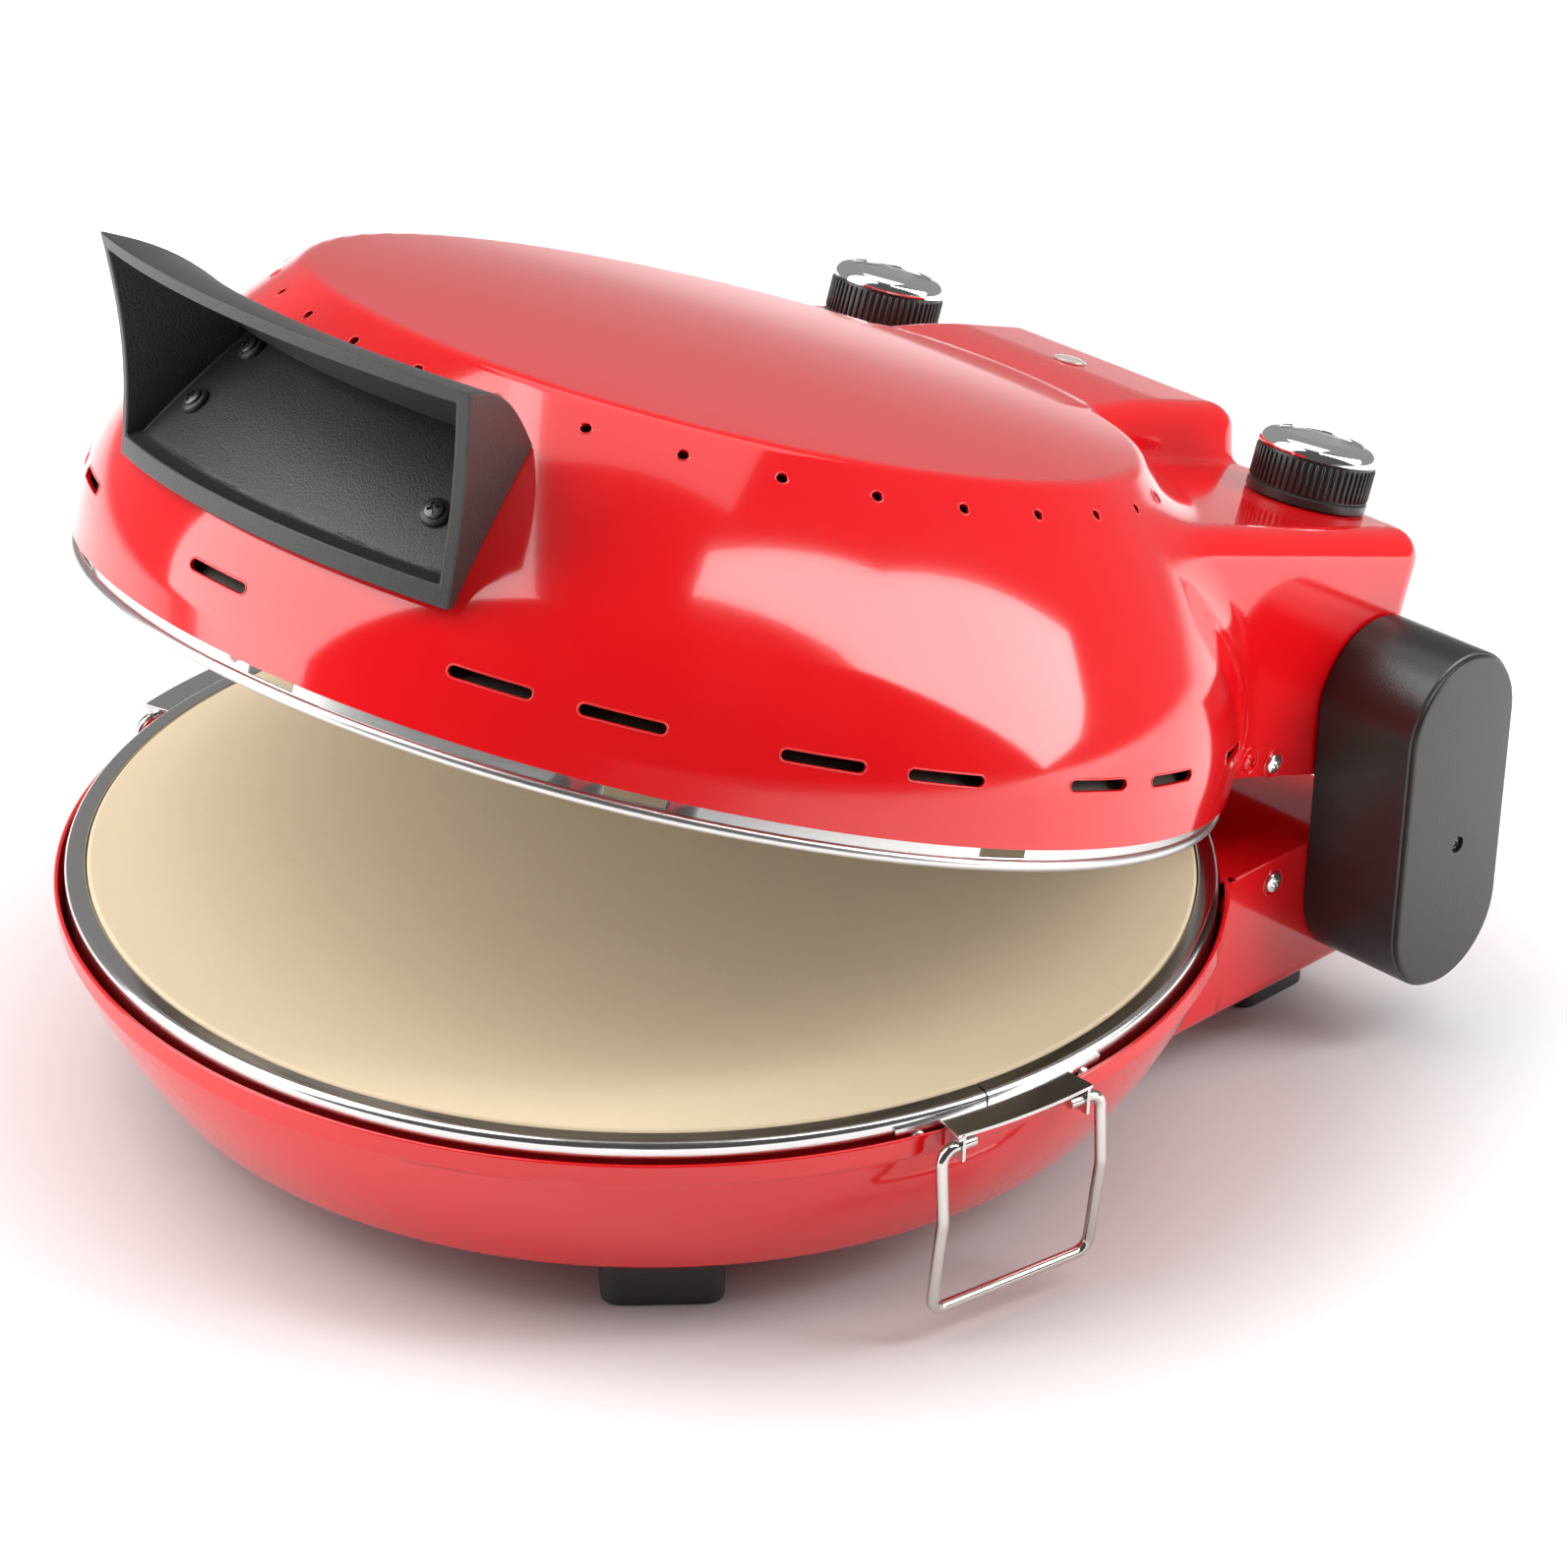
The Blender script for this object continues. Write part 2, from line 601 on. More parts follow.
def ringOf(centre, axis, r, n=28):
    side, up, _ = frameOf(axis)
    return [np.array(centre) + r * (math.cos(t) * side + math.sin(t) * up)
            for t in np.linspace(0, 2 * math.pi, n, endpoint=False)]


def roundPlug(centre, axis, r, put, half, n=28):
    unit = frameOf(axis)[2]
    return plugMesh("plug", ringOf(np.array(centre) - unit * half, axis, r, n), put, unit * 2 * half)


def around(deg, p):
    c, s = math.cos(math.radians(deg)), math.sin(math.radians(deg))
    p = asRows(p)
    return np.stack([p[:, 0] * c - p[:, 1] * s, p[:, 0] * s + p[:, 1] * c, p[:, 2]], 1)


def planForm(p, halfW, back, corner):
    x, y = np.abs(p[:, 0]) - (halfW - corner), p[:, 1] - (back - corner)
    return np.hypot(np.maximum(x, 0), np.maximum(y, 0)) + np.minimum(np.maximum(x, y), 0) - corner


# Lid shell: a dome of four arcs, the housing's shoulder and the lamp hump
lid = {"sideR": 168.0, "bendH": 14.0, "bendR": 60.0, "bendDeg": 34.0, "slopeR": 300.0, "edgeH": 91.0,
       "edgeR": 6.0, "top": 95.0, "rim": 6.9, "wall": 1.2, "shoulderH": 80.0, "shoulderW": 122.8,
       "back": 187.0, "corner": 12.0, "ridge": 9.0, "shoulderBlend": 6.0, "front": 40.0, "around": 440,
       "rows": 100, "knobX": 87.5, "knobY": 166.0, "shaftR": 5.1, "pinX": 117.5, "pinH": 23.1, "pinR": 5.6,
       "lampY": 153.0, "lampR": 4.4, "centre": (0.0, 60.0, 20.0), "centreRow": 30.0}
hump = {"halfW": 50.0, "top": 95.4, "draft": 5.0, "edge": 6.0, "back": 13.0, "blend": 2.2,
        "start": 70.0, "rise": 80.0, "sink": 6.5}
vents = {"first": 5.87, "pitch": 11.75, "count": 11, "r": 1.6, "h": 85.8, "turn": -1.6, "rim": 0.32,
         "proud": 0.12, "slotL": 23.0, "slotW": 3.2, "slotH": 24.4,
         "slotDegs": (0, 30, 42, 60, 72, 90, 102, 120)}


def polar(r, turn):
    return r * np.array((math.cos(turn), math.sin(turn)))


def domeArcs():
    # Centre, radius, first and last angle of each arc, from the side up to the crown
    bend = math.radians(lid["bendDeg"])
    bendC = np.array([lid["sideR"] - lid["bendR"], lid["bendH"]])
    slopeC = bendC - polar(lid["slopeR"] - lid["bendR"], bend)
    slopeEnd = math.asin((lid["edgeH"] - slopeC[1]) / lid["slopeR"])
    edgeC = slopeC + polar(lid["slopeR"] - lid["edgeR"], slopeEnd)
    down = edgeC[1] - lid["top"]
    crownR = (lid["edgeR"] ** 2 - edgeC[0] ** 2 - down ** 2) / (2 * (down + lid["edgeR"]))
    crownC = np.array([0.0, lid["top"] - crownR])
    crownStart = math.atan2(edgeC[1] - crownC[1], edgeC[0])
    return [(bendC, lid["bendR"], 0.0, bend), (slopeC, lid["slopeR"], bend, slopeEnd),
            (edgeC, lid["edgeR"], slopeEnd, crownStart), (crownC, crownR, crownStart, math.pi / 2)]


domeParts = domeArcs()


def domeForm(p):
    r = np.hypot(p[:, 0], p[:, 1])
    best = np.full(len(p), -1e9)
    for centre, radius, low, high in domeParts:
        u, v = r - centre[0], p[:, 2] - centre[1]
        turn = np.clip(np.arctan2(v, u), low, high)
        best = np.maximum(best, u * np.cos(turn) + v * np.sin(turn) - radius)
    return best


def shoulderForm(p):
    plan = planForm(p, lid["shoulderW"], lid["back"], lid["corner"])
    return np.maximum(roundMax(plan, p[:, 2] - lid["shoulderH"], lid["ridge"]), lid["front"] - p[:, 1])


def humpForm(p):
    lean = math.atan(hump["draft"] / (lid["top"] - lid["shoulderH"]))
    side = (np.abs(p[:, 0]) - hump["halfW"]) * math.cos(lean) + (p[:, 2] - lid["shoulderH"]) * math.sin(lean)
    # The crest lies under the top in front and comes out of it near its rear edge
    rise = np.clip((p[:, 1] - hump["start"]) / hump["rise"], 0, 1)
    crestTop = hump["top"] - hump["sink"] * (1 - rise * rise * (3 - 2 * rise))
    crest = roundMax(side, p[:, 2] - crestTop, hump["edge"])
    return np.maximum(roundMax(crest, p[:, 1] - lid["back"], hump["back"]), lid["front"] - p[:, 1])


def lidForm(p):
    body = roundMin(domeForm(p), shoulderForm(p), lid["shoulderBlend"])
    return roundMin(body, humpForm(p), hump["blend"])


def domeRadius(h):
    for centre, radius, low, high in domeParts:
        if h <= centre[1] + radius * math.sin(high) + 1e-6:
            return centre[0] + math.sqrt(radius ** 2 - max(h - centre[1], 0) ** 2)


def slotOutline(deg, grow, n=10):
    half, r = (vents["slotL"] - vents["slotW"]) / 2, vents["slotW"] / 2 + grow
    right = [(half + r * math.cos(t), r * math.sin(t)) for t in np.linspace(-math.pi / 2, math.pi / 2, n)]
    right += [(half - 2 * half * u, r) for u in (0.25, 0.5, 0.75)]
    return around(deg, [(x, -(lid["sideR"] + 6), vents["slotH"] + z)
                        for x, z in right + [(-x, -z) for x, z in right]])


def ventPlaces():
    for side in (1, -1):
        for i in range(vents["count"]):
            a = vents["turn"] + side * (vents["first"] + i * vents["pitch"])
            centre = around(a, (0, -domeRadius(vents["h"]), vents["h"]))[0]
            yield centre, around(a, (0, -math.sqrt(0.5), math.sqrt(0.5)))[0]


def slotPlaces():
    return [vents["turn"] + side * a for a in vents["slotDegs"] for side in (1, -1) if a > 0 or side == 1]


def closerAtRear(p):
    # More azimuths at the housing, most where its shoulder meets the dome
    rear = np.clip((p[:, 1] - 60) / 60, 0, 1)
    middle = np.clip((75 - np.abs(p[:, 0])) / 20, 0, 1) * (p[:, 1] > 60)
    seam = np.exp(-((p[:, 1] - 112) / 9) ** 2) * (np.abs(p[:, 0]) > 100)
    return 1 + 1.0 * rear + 2.0 * middle + 3.5 * seam


def makeLid():
    azimuths = shellAzimuths(lidForm, lid["centre"], lid["centreRow"], lid["around"], closerAtRear)
    grid = shellRows(lidForm, lid["centre"], azimuths, lid["rows"], lambda a: lid["rim"], True)
    cutters = [roundPlug(spot, axis, vents["r"], lidPlace, 5.0, 20) for spot, axis in ventPlaces()]
    cutters += [plugMesh("slot", slotOutline(a, 0), lidPlace, around(a, (0, 16, 0))[0]) for a in slotPlaces()]
    for side in (1, -1):
        shaft = (side * lid["knobX"], lid["knobY"], lid["shoulderH"])
        cutters.append(roundPlug(shaft, (0, 0, 1), lid["shaftR"], lidPlace, 5))
        pin = (side * lid["pinX"], place["pivotY"], lid["pinH"])
        cutters.append(roundPlug(pin, (1, 0, 0), lid["pinR"], lidPlace, 7.5))
    cutters.append(roundPlug((0, lid["lampY"], lid["top"]), (0, 0, 1), lid["lampR"], lidPlace, 6))
    makeSkin("lidSkin", lidForm, grid, lid["wall"], cutters, "lid", "lid_shell")
    hem = [(165.8, 6.95), (167.6, 6.95), (167.95, 7.3), (167.9, 8.0), (165.8, 8.0)]
    spunPiece("lidHem", hem, 32, "lid", "red_paint")
    rims = []
    proud = vents["proud"]
    for spot, axis in ventPlaces():
        ring = ontoForm(lidForm, ringOf(spot, axis, vents["r"] + proud, 24), -axis)
        rims.append(lidPlace(ring - axis * proud))
    for a in slotPlaces():
        aim = around(a, (0, 1, 0))[0]
        rims.append(lidPlace(ontoForm(lidForm, slotOutline(a, proud), aim, 4) + aim * proud))
    settle(sweep("ventRims", rims, vents["rim"], "redPaint", 10), "lid", "red_paint")


makeLid()
print("lid shell made")

# Base shell: a drawn bowl with a folded lip, and the rear housing
base = {"foot": 16.0, "footR": 149.3, "bowlZ": 21.0, "draw": 19.0, "swell": 1.6, "edge": 5.0, "bandZ": 57.7,
        "foldH": 1.3, "lipR": 169.5, "lipZ": 64.3, "wall": 1.0, "podW": 123.4, "podBack": 187.0,
        "podTop": 62.0, "podFront": 30.0, "corner": 12.0, "podEdge": 6.0, "blend": 0.5, "around": 360,
        "rows": 84, "airSlots": 9, "glandX": 61.7, "glandZ": 40.0, "glandR": 6.2, "rollR": 168.82,
        "rollZ": 64.1, "roll": 0.62, "rollEnd": 169.0, "centre": (0.0, 60.0, 40.0), "centreRow": 50.0}


def bowlRadius(z):
    u = np.clip((z - base["bowlZ"]) / (base["bandZ"] - base["bowlZ"]), -0.2, 1)
    r = base["footR"] + base["draw"] * u + base["swell"] * 4 * u * (1 - u)
    t = np.clip((z - base["bandZ"] + 0.1) / base["foldH"], 0, 1)
    fold = base["lipR"] - (base["footR"] + base["draw"])
    return r + fold * t * t * (3 - 2 * t)


def baseForm(p):
    low = base["foot"] - p[:, 2]
    bowl = roundMax((np.hypot(p[:, 0], p[:, 1]) - bowlRadius(p[:, 2])) * 0.9, low, base["edge"])
    pod = roundMax(planForm(p, base["podW"], base["podBack"], base["corner"]), low, base["podEdge"])
    return roundMin(bowl, np.maximum(pod, base["podFront"] - p[:, 1]), base["blend"])


def makeBase():
    centre = base["centre"]

    def edgeHeight(a):
        # The housing's edge is lower than the bowl's lip
        way = np.array([math.sin(a), -math.cos(a)])
        b = centre[1] * way[1]
        spot = way * (math.sqrt(b * b + base["lipR"] ** 2 - centre[1] ** 2) - b) + centre[:2]
        return base["podTop"] if spot[1] > 60 and abs(spot[0]) < base["podW"] + 0.2 else base["lipZ"]

    azimuths = shellAzimuths(baseForm, centre, base["centreRow"], base["around"], lambda p: 1.0)
    grid = shellRows(baseForm, centre, azimuths, base["rows"], edgeHeight, False)
    box = [(-11, -74, 10), (11, -74, 10), (11, -70, 10), (-11, -70, 10)]  # one slot, low in the floor
    cutters = [plugMesh("airSlot", around(20 + 360 / base["airSlots"] * i, box), basePlace, (0, 0, 10))
               for i in range(base["airSlots"])]
    gland = (base["glandX"], base["podBack"], base["glandZ"])
    cutters.append(roundPlug(gland, (0, 1, 0), base["glandR"], basePlace, 5))
    makeSkin("baseSkin", baseForm, grid, base["wall"], cutters, "base", "base_shell")
    reach = math.degrees(math.asin((base["podW"] + 0.2) / base["rollEnd"]))
    path = [(base["rollR"] * math.sin(a), -base["rollR"] * math.cos(a), base["rollZ"])
            for a in np.radians(np.linspace(-180 + reach, 180 - reach, 300))]
    roll = sweep("baseLip", [basePlace(path)], base["roll"], "redPaint", 12, closed=False)
    settle(roll, "base", "red_paint")


makeBase()
softCopy("base_pod_cover", "base", "red_paint", 0.7)
print("base shell made")

# Stone and tray
tray = {"stoneR": 160.0, "stoneT": 10.0, "lowEdge": 1.5, "topEdge": 1.4, "top": 70.0, "foot": 150.0,
        "inner": 160.4, "outer": 166.4, "bend": 2.2, "sheet": 0.8, "flange": 69.6, "low": 59.2, "seam": 79.7,
        "gap": 0.6}


def makeStone():
    r, top, lowEdge, topEdge = (tray[key] for key in ("stoneR", "top", "lowEdge", "topEdge"))
    low = top - tray["stoneT"]
    profile = [(0, low), (r - lowEdge - 1, low)] + arcPoints(r - lowEdge, low + lowEdge, lowEdge, -90, 0, 4)
    profile += arcPoints(r - topEdge, top - topEdge, topEdge, 0, 90, 6) + [(0, top)]
    spunPiece("bakingStone", profile, 40, "base", "stone_face", ["stone"], steps=240, closed=False)


def makeTray():
    r, s, top, low = tray["bend"], tray["sheet"], tray["flange"], tray["low"]
    foot, inner, outer = tray["foot"], tray["inner"], tray["outer"]
    profile = [(foot, low), (inner + s, low), (inner + s, top - s)]
    profile += arcPoints(outer - r, top - r, r - s, 90, 0, 6) + [(outer - s, low), (outer, low)]
    profile += arcPoints(outer - r, top - r, r, 0, 90, 10)
    profile += arcPoints(inner + 0.5, top - 0.5, 0.5, 90, 180, 4) + [(inner, low + s), (foot, low + s)]
    half = math.degrees(tray["gap"] / 2 / outer)
    spunPiece("trayRing", profile, 40, "base", "bright_steel", ["stone_tray"], start=tray["seam"] + half,
              end=tray["seam"] + 360 - half, steps=300)


makeStone()
makeTray()
for side in ("right", "left"):
    softCopy("tray_bracket_" + side, "base", "bright_steel", 0.3)
softCopy("base_liner", "base", "aluminised")
print("stone and tray made")

# Wire handles of the tray
bail = {"deg": 81.8, "at": 173.5, "z": 62.4, "half": 27.2, "legA": 21.0, "legB": 30.0, "leanA": 5.5,
        "leanB": 6.5, "wire": 3.4, "ear": 21.3, "bends": (4.2, 8, 4.2, 4.2, 8, 4.2)}


def filleted(points, radii, n=8):
    points = [np.array(p, float) for p in points]
    out = [points[0]]
    for a, b, c, r in zip(points, points[1:], points[2:], radii):
        u, v = (a - b) / np.linalg.norm(a - b), (c - b) / np.linalg.norm(c - b)
        half = math.acos(np.clip(np.dot(u, v), -1, 1)) / 2
        centre = b + (u + v) / np.linalg.norm(u + v) * r / math.sin(half)
        start, stop = b + u * r / math.tan(half) - centre, b + v * r / math.tan(half) - centre
        for k in range(n + 1):
            way = start * (1 - k / n) + stop * k / n
            out.append(centre + way / np.linalg.norm(way) * r)
    return out + [points[-1]]


def bailPath(side):
    leanA, leanB = math.radians(-bail["leanA"]), math.radians(bail["leanB"])
    kink = np.array((bail["half"], bail["legA"] * math.sin(leanA), -bail["legA"] * math.cos(leanA)))
    low = kink + (0, bail["legB"] * math.sin(leanB), -bail["legB"] * math.cos(leanB))
    right = [(bail["ear"] - 5, 0, 0), (bail["half"], 0, 0), kink, low]
    path = filleted(right + [(-p[0], p[1], p[2]) for p in right[::-1]], bail["bends"])
    path = around(bail["deg"], [(p[0], p[1] - bail["at"], p[2] + bail["z"]) for p in path])
    return basePlace(path * (side, 1, 1))


for side, name in ((1, "bail_right"), (-1, "bail_left")):
    wire = sweep(name + "Wire", [bailPath(side)], bail["wire"] / 2, "wireSteel", 20, closed=False)
    settle(wire, name, "bright_steel", [name])
print("wire handles made")

# Handle: a hooded scoop round the lid's front
handle = {"half": 23.2, "low": 38.8, "top": 97.4, "r": 185.5, "footR": 167.1, "wall": 3.6, "seat": 0.3,
          "lip": 6.0, "hoodLow": 78.9, "crown": 5.2, "hoodT": 3.9, "bow": 3.0, "steps": 48, "edge": 1.1,
          "edgeDeg": 38, "screwDeg": 18.0, "screwH": (56.5, 72.6), "screwLean": 38.0, "screwR": 2.7,
          "boss": 1.6, "bossIn": 0.6}


def slopeDeg(h, out):
    centre, radius = domeParts[1][:2]
    return math.degrees(math.asin((h - centre[1]) / (radius + out)))


def lidSide(h0, h1, out, n0=6, n1=12):
    (bendC, bendR), (slopeC, slopeR) = domeParts[0][:2], domeParts[1][:2]
    first = math.degrees(math.asin((h0 - bendC[1]) / (bendR + out)))
    return arcPoints(bendC[0], bendC[1], bendR + out, first, lid["bendDeg"], n0)[:-1] + \
        arcPoints(slopeC[0], slopeC[1], slopeR + out, lid["bendDeg"], slopeDeg(h1, out), n1)


def crowned(a, b, rise, n):
    return [(a[0] + (b[0] - a[0]) * i / n, a[1] + (b[1] - a[1]) * i / n + rise * math.sin(math.pi * i / n))
            for i in range(n + 1)]


def sector(name, section, half):
    steps = handle["steps"]
    points = [(r * math.sin(a), -r * math.cos(a), h)
              for a in np.radians(np.linspace(-half, half, steps + 1)) for r, h in section]
    mesh = toMesh(name, lidPlace(points), ringFaces(steps + 1, len(section)), "blackPlastic")
    return merged(mesh, 1e-6, outward=True)


def makeHandle():
    h = handle
    foot = domeParts[1][0] + polar(lid["slopeR"] + h["seat"], math.radians(slopeDeg(h["hoodLow"], h["seat"])))
    mouth = [(h["footR"] + (h["r"] - h["footR"]) * u - h["bow"] * math.sin(math.pi * u),
              h["low"] + (h["top"] - h["low"]) * u) for u in np.linspace(0, 1, 13)[1:-1]]
    hood = crowned(foot, (h["r"], h["top"]), h["crown"], 14)
    section = lidSide(h["low"], h["hoodLow"], h["seat"]) + hood + mouth[::-1] + [(h["footR"], h["low"])]
    hoodIn, lipTop = h["top"] - h["hoodT"], h["low"] + h["lip"]
    hollow = lidSide(lipTop + 1.5, h["hoodLow"] + 1, h["seat"] + h["wall"]) + \
        crowned((foot[0] + 10, foot[1] + 0.4), (h["r"] - 0.4, hoodIn), h["crown"] - 0.6, 10) + \
        [(h["r"] + 12, hoodIn), (h["r"] + 12, lipTop), (h["footR"], lipTop)]
    obj = toObject("scoopHandle", sector("scoopHandle", section, h["half"]))
    cut(obj, [sector("scoopHollow", hollow, h["half"] - math.degrees(h["wall"] / h["footR"]))])
    sharpen(merged(obj.data, 1e-5, flatten=0.004), 30)
    bevelled(obj, h["edge"], h["edgeDeg"], 3)
    settle(obj, "lid", "black_plastic", ["handle"])


makeHandle()
print("handle made")

# Screws: a pan head of radius 1 m with a cross recess, which the tree scales
screw = {"cross": 0.64, "slot": 0.16, "turn": 0.4, "rim": 0.28, "lidY": 135.0, "lidZ": 10.9, "frontZ": 11.9,
         "baseY": 137.0, "baseZ": 55.7, "coverX": 156.9, "coverY": 178.3, "coverZ": 67.0, "tabDeg": 9.8,
         "tabR": 167.4, "tabZ": 62.8}


def makeScrewTemplate():
    profile = [(0, -0.05), (0.93, -0.05), (1.0, 0.02), (1.0, 0.18)] + \
        [(0.84 + 0.16 * math.cos(t), 0.18 + 0.16 * math.sin(t)) for t in np.linspace(0.3, 1.4, 4)] + \
        [(0.55, 0.44), (0.3, 0.48), (0, 0.5)]
    obj = toObject("screwTemplate", spun("screwBody", profile, "screwSteel", asRows, steps=32, closed=False))
    long, half = screw["cross"], screw["slot"]
    loop = []
    for turn in range(4):
        loop += [around(90 * turn, p)[0] for p in ((long, -half, 0.2), (long, half, 0.2), (half, half, 0.2))]
    cut(obj, [plugMesh("screwCross", loop, asRows, (0, 0, 1))])
    sharpen(obj.data, 35)
    return obj


def makeBossTemplate():
    profile = [(0, 0), (4.3, 0), (4.0, 1.8), (3.7, 2.2), (0, 2.2)]
    mesh = spun("bossTemplate", profile, "blackPlastic", lambda p: asRows(p) / 1000, steps=32, closed=False)
    return toObject("bossTemplate", mesh)


def setScrews(name, spots, axes, radius, body, slot, stands=(), look=None):
    axes = np.array(axes, float)
    sides = []
    for axis in axes:
        side, up, _ = frameOf(axis)
        sides.append(side * math.cos(screw["turn"]) + up * math.sin(screw["turn"]))
    obj = scatter(name, spots, axes, sides, screwTemplate, look or slotLooks[slot], radius / 1000)
    settle(obj, body, slot, stands)


def setSideScrews(name, x, y, z, radius, body, stands=(), look=None):
    # One on the right and one on the left, facing sideways
    spots = placeOf(body)([(s * x, y, z) for s in (1, -1)])
    setScrews(name, spots, [(s, 0, 0) for s in (1, -1)], radius, body, "screw_steel", stands, look)


def setRims(name, spots, radius, body):
    # Pressed rings round screws on the right and the left
    put = placeOf(body)
    rings = [put(ringOf((s * x, y, z), (1, 0, 0), radius, 32)) for s in (1, -1) for x, y, z in spots]
    settle(sweep(name, rings, screw["rim"], "redPaint", 10), body, "red_paint")


def setHandleScrews():
    spots, axes = [], []
    lean = math.radians(handle["screwLean"])
    for a in (-handle["screwDeg"], handle["screwDeg"]):
        for high in handle["screwH"]:
            axes.append(around(a, (0, -math.cos(lean), math.sin(lean)))[0])
            spots.append(around(a, (0, -domeRadius(high) - handle["seat"], high))[0])
    spots, axes = np.array(spots), np.array(axes)
    heads = lidPlace(spots + axes * (handle["wall"] + handle["boss"]))
    setScrews("handleScrews", heads, lidTurn(axes), handle["screwR"], "lid", "dark_screws", ["handle_screws"])
    template = makeBossTemplate()
    feet = lidPlace(spots + axes * (handle["wall"] - handle["bossIn"]))
    sides = lidTurn([frameOf(a)[0] for a in axes])
    bosses = scatter("handleBosses", feet, lidTurn(axes), sides, template, "blackPlastic")
    settle(bosses, "lid", "black_plastic")
    bpy.data.objects.remove(template)


screwTemplate = makeScrewTemplate()
setHandleScrews()
shoulderW, podW = lid["shoulderW"], base["podW"]
lidY, lidZ, frontZ = screw["lidY"], screw["lidZ"], screw["frontZ"]
podFront = math.sqrt(lid["sideR"] ** 2 - shoulderW ** 2) + 8
setSideScrews("lidPodScrews", shoulderW, lidY, lidZ, 2.9, "lid", ["lid_pod_screws"])
setSideScrews("lidFrontScrews", shoulderW, podFront, frontZ, 2.5, "lid", look="redPaint")
setRims("lidScrewRims", [(shoulderW + 0.15, lidY, lidZ), (shoulderW + 0.15, podFront, frontZ)], 4.1, "lid")
setRims("baseScrewRims", [(podW + 0.1, screw["baseY"], screw["baseZ"])], 4.2, "base")
setSideScrews("basePodScrews", podW, screw["baseY"], screw["baseZ"], 3.1, "base", ["base_pod_screws"])
setSideScrews("coverScrews", screw["coverX"], screw["coverY"], screw["coverZ"], 1.9, "base", ["cover_screws"],
              "darkScrew")
tabs = [s * (bail["deg"] + d) for d in (-screw["tabDeg"], screw["tabDeg"]) for s in (1, -1)]
setScrews("bracketScrews", basePlace([around(a, (0, -screw["tabR"], screw["tabZ"]))[0] for a in tabs]),
          [around(a, (0, -1, 0))[0] for a in tabs], 2.2, "base", "screw_steel", ["bracket_screws"])
print("screws set")

# Hinge covers: a stadium outline; each row is how far in from it, and how far back from the outer face
cover = {"r": 23.9, "y": 176.3, "low": 45.0, "high": 105.0, "inner": 123.4, "outer": 158.4, "middle": 23.85,
         "hole": 2.6}
deep = cover["outer"] - cover["inner"]
coverRows = [(2.0, 2.0), (2.0, deep), (1.4, deep), (0.3, deep), (0, deep - 0.4), (0, 2.4), (0.1, 1.9),
             (0.35, 1.65), (0.75, 1.5), (0.98, 1.5), (1.0, 1.2), (1.08, 0.6), (1.3, 0.25), (1.7, 0.06),
             (2.3, 0)]


def stadium(inset, x, n=24):
    half = [(cover["high"], math.cos(t), math.sin(t)) for t in np.linspace(0, math.pi, n)]
    half += [(cover["high"] + (cover["low"] - cover["high"]) * u, -1.0, 0.0) for u in (0.25, 0.5, 0.75)]
    r, middle = cover["r"] - inset, cover["high"] + cover["low"]
    top = [(x, cover["y"] - r * c, h + r * s) for h, c, s in half]
    return top + [(x, 2 * cover["y"] - y, middle - z) for _, y, z in top]


def makeCover(side, name):
    x1 = cover["outer"]
    rows = [(cover["middle"], 2.0)] + coverRows + [(cover["middle"], 0)]
    points = [(side * x, y, z) for inset, back in rows for x, y, z in stadium(inset, x1 - back)]
    faces = ringFaces(len(rows), len(points) // len(rows))
    obj = toObject(name, merged(toMesh(name, basePlace(points), faces, "blackGloss"), 1e-6, outward=True))
    hole = (side * x1, screw["coverY"], screw["coverZ"])
    cut(obj, [roundPlug(hole, (1, 0, 0), cover["hole"], basePlace, 4)])
    sharpen(obj.data, 28)
    settle(obj, "base", "black_plastic", ["hinge_cover_" + ("right" if side > 0 else "left")])


makeCover(1, "coverRight")
makeCover(-1, "coverLeft")
print("hinge covers made")

# Knobs: a fluted skirt, a chrome cap and an inset disc
knob = {"r": 18.1, "z": 80.35, "skirt": 14.0, "ring": 3.0, "cap": 5.0, "disc": 12.3, "flutes": 56,
        "rib": 0.55, "ribIn": 0.62}


def makeFluteTemplate():
    # One rib, its length along x, its back along z
    length = knob["skirt"] - knob["ring"] - 1.2
    turns = [math.pi * 2 * k / 8 for k in range(8)]
    points = [(x, r * math.cos(t), r * math.sin(t)) for x, r in (
        (0, knob["rib"] / 2), (0.5, knob["rib"]), (length - 0.5, knob["rib"]), (length, knob["rib"] / 2))
        for t in turns]
    mesh = toMesh("fluteTemplate", asRows(points) / 1000, ringFaces(4, 8), "blackGloss")
    return toObject("fluteTemplate", sharpen(merged(mesh, 1e-6, outward=True), 50))


